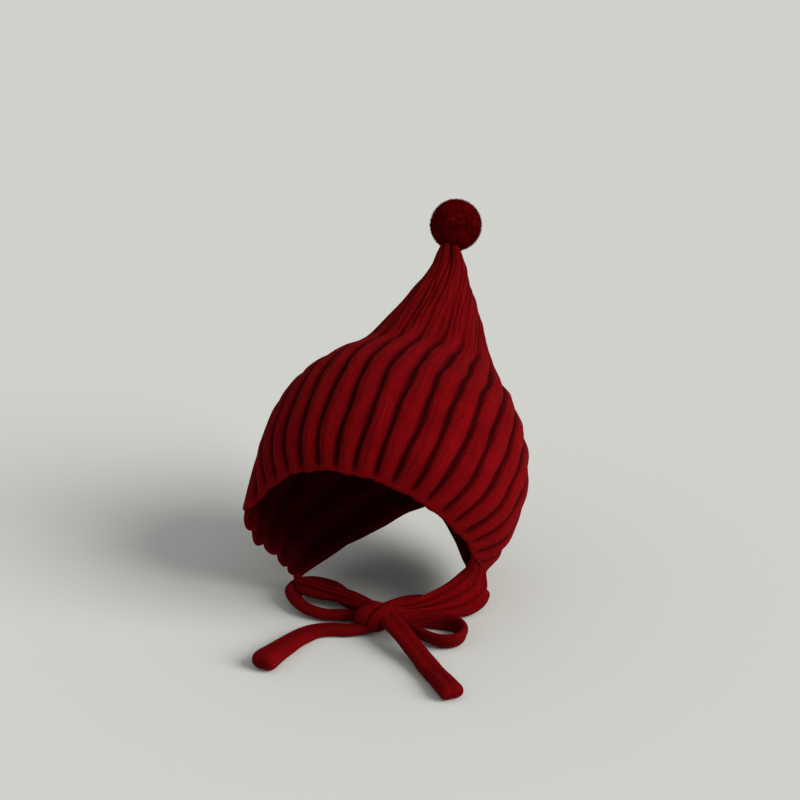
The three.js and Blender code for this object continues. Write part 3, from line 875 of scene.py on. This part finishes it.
# %% The two edges of each gathered corner, from the cap down to the knot
corner_left = table("upper_x upper_y upper_z lower_x lower_y lower_z", [
    (56.8, -30.2, 41.6, 58.4, -17.4, 27.6),
    (55.4, -28.4, 35.8, 59.4, -14.6, 20.8),
    (52.4, -26.6, 30.6, 60.0, -14.2, 14.4),
    (48.1, -27.0, 26.3, 58.8, -18.6, 10.0),
    (43.5, -30.0, 22.0, 51.6, -25.0, 6.3),
    (36.7, -35.0, 18.0, 41.6, -31.5, 5.2),
    (28.9, -40.0, 14.6, 31.6, -37.0, 5.2),
    (22.6, -43.6, 13.0, 24.0, -43.0, 6.6),
    (16.6, -47.6, 12.4, 17.6, -47.8, 7.6),
    (12.4, -50.4, 11.2, 13.0, -50.8, 8.4),
])
corner_right = table("upper_x upper_y upper_z lower_x lower_y lower_z", [
    (-44.2, -35.2, 15.4, -43.8, -34.4, 11.6),
    (-40.4, -36.2, 14.6, -43.4, -36.6, 9.8),
    (-34.0, -37.0, 13.6, -36.8, -38.2, 8.8),
    (-25.6, -38.0, 12.8, -27.0, -39.4, 8.2),
    (-16.0, -39.4, 12.2, -16.6, -41.4, 7.8),
    (-7.0, -41.8, 12.0, -7.4, -44.0, 7.8),
    (2.0, -46.0, 12.0, 1.8, -48.2, 8.4),
])


# %% Gather the corners into the ties
GATHERS, BULGE = 0.5, 0.9    # mm, the height of the gathers and of the whole strip's rounding
ROWS_ALONG, ROWS_ACROSS = 60, 49


def eased(count):
    """Shares from 0 to 1 that lie closer together at both ends."""
    return (1 - np.cos(np.linspace(0, math.pi, count))) / 2


def edge_line(rails, edge, share):
    """Places at the given shares of one edge of a strip."""
    line = smooth_line(on_table(zip(*(rails[edge + axis] for axis in ("_x", "_y", "_z")))), step=0.5)
    at = np.linspace(0, 1, len(line))
    return np.stack([np.interp(share, at, line[:, k]) for k in range(3)], axis=1)


def gathered_strip(shape, rails, thickness, gathers, columns):
    """Adds a closed strip of cloth between two edges, rounded all round."""
    share, across = eased(ROWS_ALONG), eased(ROWS_ACROSS)
    upper, lower = edge_line(rails, "upper", share), edge_line(rails, "lower", share)
    middle = upper[None] + (lower - upper)[None] * across[:, None, None]
    centre = (upper + lower) / 2
    face_way = np.cross(lower - upper, np.gradient(centre, axis=0))
    gone = distance_along(centre)
    to_side = np.minimum(across, 1 - across)[:, None] * np.linalg.norm(lower - upper, axis=1)[None]
    to_end = np.minimum(gone, gone[-1] - gone)[None]
    near = np.clip(1 - np.minimum(to_side, to_end) / (thickness / 2), 0, 1)
    half = thickness / 2 * np.sqrt(1 - near ** 2)
    fullness = np.sin(math.pi * share)[None]
    wave = np.cos(2 * math.pi * gathers * across)[:, None] * (GATHERS * fullness ** 0.5)
    bulge = np.sin(math.pi * across)[:, None] * (BULGE * fullness)
    counts = np.zeros((*half.shape, 2))
    counts[..., 0] = across[:, None] * columns
    counts[..., 1] = gone[None] / STITCH_HEIGHT
    for sign in (1, -1):
        places = middle + unit(face_way)[None] * (sign * half + wave + bulge)[..., None]
        # painted shade where the gathers sink
        laid_grid(shape, places, counts, np.clip(-wave, 0, 1), flip=sign < 0)


gathered_strip(shape, corner_left, thickness=3.4, gathers=3, columns=8)
gathered_strip(shape, corner_right, thickness=3.2, gathers=2, columns=5)
cap = finished(shape, "knitted_cap_cloth", rib_knit)
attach(cap, "root")
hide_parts("knitted_cap")

# %% [markdown]
# ## The pompom
# A pompom is hundreds of yarn ends tied at the middle and clipped to a ball. From outside it
# is a skin of cut ends, each splayed a little. A ball with a low bump for each end gives the
# body, and thousands of short fibres over it give the soft edge.

# %% Directions spread over a ball
POMPOM_RADIUS = 15.0    # mm
POMPOM_LIFT = 14.2      # mm from the point to the pompom's middle
YARN_ENDS = 420


def spread(count):
    """Points spread evenly over a ball, by the golden angle."""
    k = np.arange(count) + 0.5
    z = 1 - 2 * k / count
    around = k * math.pi * (3 - math.sqrt(5))
    flat = np.sqrt(1 - z * z)
    return np.stack([flat * np.cos(around), flat * np.sin(around), z], axis=1)


rng = np.random.default_rng(7)
ends = unit(spread(YARN_ENDS) + rng.normal(0, 0.045, (YARN_ENDS, 3)))
tufts = rng.normal(0, 0.35, YARN_ENDS)    # no two ends are clipped alike
print("the pompom has", YARN_ENDS, "yarn ends")

# %% Clip the pompom
SKIN = 0.5          # mm, how far the yarn ends stand back from the fibres' tips
END_WIDTH = 1.5     # mm from an end's middle to the gap beside it
GAP = 0.8           # mm deep

ball = bmesh.new()
bmesh.ops.create_icosphere(ball, subdivisions=6, radius=1.0)
ways = unit(np.array([vert.co[:] for vert in ball.verts]))
# the nearest end to each corner, found in twenty parts to save memory
near_end = np.concatenate([(part @ ends.T).argmax(axis=1) for part in np.array_split(ways, 20)])
off = np.sqrt(np.maximum(2 - 2 * (ways * ends[near_end]).sum(axis=1), 0)) * POMPOM_RADIUS
lumps = 0.30 * np.sin(ways @ np.array((5.0, 2.0, 3.0)) + 1)
lumps += 0.22 * np.sin(ways @ np.array((-4.0, 7.0, 5.0)))
clipped = POMPOM_RADIUS - SKIN + lumps + tufts[near_end] * 0.6
clipped -= GAP * np.clip(off / END_WIDTH, 0, 1.3) ** 2
pompom_centre = np.array(tip) / MM + np.array(pointing) * POMPOM_LIFT
for vert, way, reach in zip(ball.verts, ways, clipped):
    vert.co = (pompom_centre + way * reach) * MM
for face in ball.faces:
    face.smooth = True
print("its yarn ends stand", clipped.min().round(1), "to", clipped.max().round(1), "mm from its middle")

# %% Short fibres stand out of the pile
FIBRES = 9000
FIBRE_WIDTH = 0.34                    # mm, several real fibres together, so that they show
SHORTEST, LONGEST = 0.9, 1.8          # mm
ROOT_DEPTH = 0.9                      # mm
ANY_WAY = (0.31, 0.52, 0.79)          # along which no fibre stands

one = bmesh.new()
bmesh.ops.create_cone(one, cap_ends=True, segments=3, radius1=FIBRE_WIDTH / 2, radius2=0.02, depth=1.0)
bmesh.ops.remove_doubles(one, verts=one.verts, dist=0.05)
one.verts.index_update()
corners = np.array([vert.co[:] for vert in one.verts]) + np.array((0, 0, 0.5))
sides = [[vert.index for vert in face.verts] for face in one.faces]
one.free()
stands = unit(spread(FIBRES) + rng.normal(0, 0.02, (FIBRES, 3)))
leans = unit(stands + rng.normal(0, 0.30, (FIBRES, 3)))
left = unit(np.cross(leans, ANY_WAY))
front = np.cross(leans, left)
lengths = rng.uniform(SHORTEST, LONGEST, FIBRES)
roots = pompom_centre + stands * (POMPOM_RADIUS - ROOT_DEPTH)
axes = np.stack([left, front, leans * lengths[:, None]], axis=1)
places = roots[:, None] + np.einsum("ck,fkx->fcx", corners, axes)
faces = [[f * len(corners) + c for c in side] for f in range(FIBRES) for side in sides]
pile = bpy.data.meshes.new("pile")
pile.from_pydata((places.reshape(-1, 3) * MM).tolist(), [], faces)
ball.from_mesh(pile)
bpy.data.meshes.remove(pile)
print("each fibre has", len(sides), "faces")

# %% The pile's material
# painted shade for the gaps between the yarn ends, and the ends' own colour
PAINTED_GAP_SHADE, ON_ENDS = "#3e0102", "#6e0204"
PILE_SHEEN = "#a80a10"


def clipped_pile(name):
    """Cut yarn ends: matte, with painted shade in noise patches for the gaps between the ends, and a
    soft sheen from the fibres.
    """
    material, tree = new_material(name)
    place = add(tree, "ShaderNodeTexCoord", out="Object")
    # fibres about 0.9 mm apart, in clumps about 6 mm wide
    fine = add(tree, "ShaderNodeTexNoise", {
        "Vector": place, "Scale": 1.1 / MM, "Detail": 3.0, "Roughness": 0.7,
    }, out="Fac")
    broad = add(tree, "ShaderNodeTexNoise", {
        "Vector": place, "Scale": 0.16 / MM, "Detail": 3.0,
    }, out="Fac")
    level = add(tree, "ShaderNodeMath", [broad, 0.6, 0.0], operation="MULTIPLY_ADD")
    level = add(tree, "ShaderNodeMath", [fine, 0.5, level], operation="MULTIPLY_ADD")
    # painted shade where the noise is low, in the fine hollows of the bump, with random tone in clumps
    shade = add(tree, "ShaderNodeMapRange", {"Value": level, "From Min": 0.35, "From Max": 0.75})
    colour = add(tree, "ShaderNodeMix", {
        0: shade, 6: linear(PAINTED_GAP_SHADE), 7: linear(ON_ENDS),
    }, out=2, data_type="RGBA")
    bump = add(tree, "ShaderNodeBump", {"Strength": 0.7, "Distance": 0.5 * MM, "Height": fine})
    shader = add(tree, "ShaderNodeBsdfPrincipled", {
        "Base Color": colour, "Roughness": 0.95, "Normal": bump, "Specular IOR Level": 0.02,
        "Sheen Weight": 0.10, "Sheen Roughness": 0.4, "Sheen Tint": linear(PILE_SHEEN),
    })
    add(tree, "ShaderNodeOutputMaterial", {"Surface": shader})
    return material


pompom = finished(ball, "pompom_pile", clipped_pile("clipped_yarn_pile"), merge=0.0001)
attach(pompom, "root")
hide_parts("pompom")

# %% [markdown]
# ## The studio
# A plain pale table and soft daylight from the right and the front, so shadows are broad and
# fall to the left. A wide sun lamp lights near and far floor alike, which an area light would
# not, and the sky fills the rest.

# %% The table
FLOOR_HALF = 15.0    # m, so that its edge is far outside the picture

floor = bpy.data.objects.new("floor", bpy.data.meshes.new("floor"))
bpy.context.scene.collection.objects.link(floor)
plane = bmesh.new()
bmesh.ops.create_grid(plane, x_segments=1, y_segments=1, size=FLOOR_HALF)
for vert in plane.verts:
    vert.co.z = TABLE * MM
plane.to_mesh(floor.data)
plane.free()
pale, pale_tree = new_material("pale_table")
pale_surface = add(pale_tree, "ShaderNodeBsdfPrincipled", {
    "Base Color": linear("#cccdca"), "Roughness": 0.85, "Specular IOR Level": 0.2,
})
add(pale_tree, "ShaderNodeOutputMaterial", {"Surface": pale_surface})
floor.data.materials.append(pale)
print("the table lies", -TABLE, "mm below the crown")

# %% The light
SUN_STRENGTH = 3.5                       # W on a square metre
SUN_WIDTH = math.radians(38)             # as wide as a window, for soft shadows
SUN_WAY = Vector((-1.0, 0.10, -0.60))    # the way that its light goes
SKY_STRENGTH = 0.67

daylight = bpy.data.objects.new("window", bpy.data.lights.new("window", "SUN"))
daylight.data.energy = SUN_STRENGTH
daylight.data.angle = SUN_WIDTH
daylight.data.color = linear("#fffdf8")[:3]
daylight.rotation_euler = SUN_WAY.to_track_quat("-Z", "Y").to_euler()
bpy.context.scene.collection.objects.link(daylight)
world = bpy.data.worlds.new("daylight")
world.use_nodes = True
sky = world.node_tree.nodes["Background"].inputs
sky["Color"].default_value = linear("#dcdedd")
sky["Strength"].default_value = SKY_STRENGTH
bpy.context.scene.world = world
bpy.context.scene.view_settings.view_transform = "Standard"
print("the sun gives", SUN_STRENGTH, "W on a square metre and the sky", SKY_STRENGTH)
